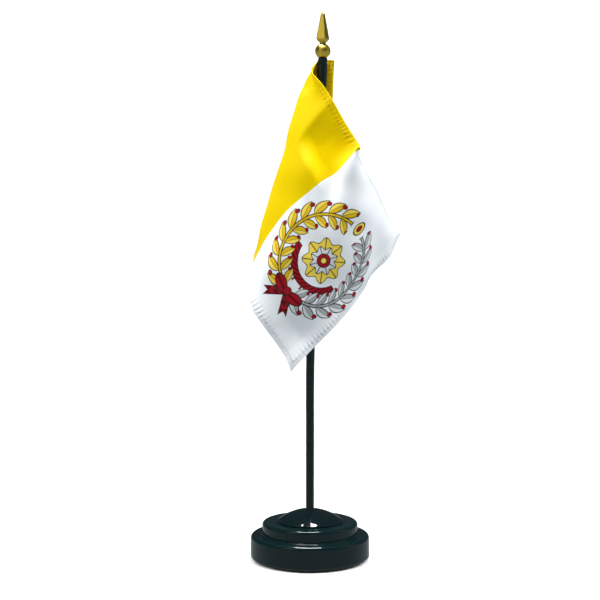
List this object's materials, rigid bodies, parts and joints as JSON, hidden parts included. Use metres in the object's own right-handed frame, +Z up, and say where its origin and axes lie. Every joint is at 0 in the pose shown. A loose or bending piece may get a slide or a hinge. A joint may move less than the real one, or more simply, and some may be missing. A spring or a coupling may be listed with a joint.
{
  "type": "desk flag stand",
  "caption": "Small cloth flag draped from a slim black staff with a gold spear point, standing in a weighted round two-tier base.",
  "frame": {"origin": "centre of the felt's resting face, on the staff socket's axis", "axes": "+Z up along the staff socket, -Y to the front of the flag, +X to the fly side where the staff leans"},
  "size_m": [0.093, 0.0714, 0.3263],
  "materials": {
    "shell_plastic": "high-gloss moulded black plastic",
    "dome_plastic": "high-gloss moulded black plastic",
    "lid_plastic": "matt moulded black plastic",
    "felt": "pressed dark green felt",
    "ballast_steel": "blanked steel, oiled",
    "screw_steel": "zinc-plated steel",
    "spring_steel": "spring steel",
    "sleeve_rubber": "soft black elastomer",
    "staff_plastic": "smooth black rod, satin gloss",
    "gold": "gold-plated and polished",
    "glue": "clear set glue",
    "cloth": "printed polyester satin, yellow and white halves"
  },
  "bodies": {
    "base": {"felt_pad": "felt", "base_lid": "lid_plastic", "ballast_disc": "ballast_steel", "base_screws": "screw_steel", "base_shell": "shell_plastic", "dome_boss": "dome_plastic", "stem_push_nut": "spring_steel"},
    "socket_sleeve": {"grip_sleeve": "sleeve_rubber"},
    "flag_staff": {"staff": "staff_plastic", "spear_finial": "gold", "hoist_glue": "glue", "flag_cloth": "cloth"}
  },
  "joints": [
    {"name": "staff_turn", "type": "hinge", "parent": "base", "child": "socket_sleeve", "pos_m": [0, 0, 0.01], "axis": [0, 0, 1], "continuous": true},
    {"name": "staff_lift", "type": "slide", "parent": "socket_sleeve", "child": "flag_staff", "axis": [0, 0, 1], "range_m": [0, 0.045]}
  ]
}
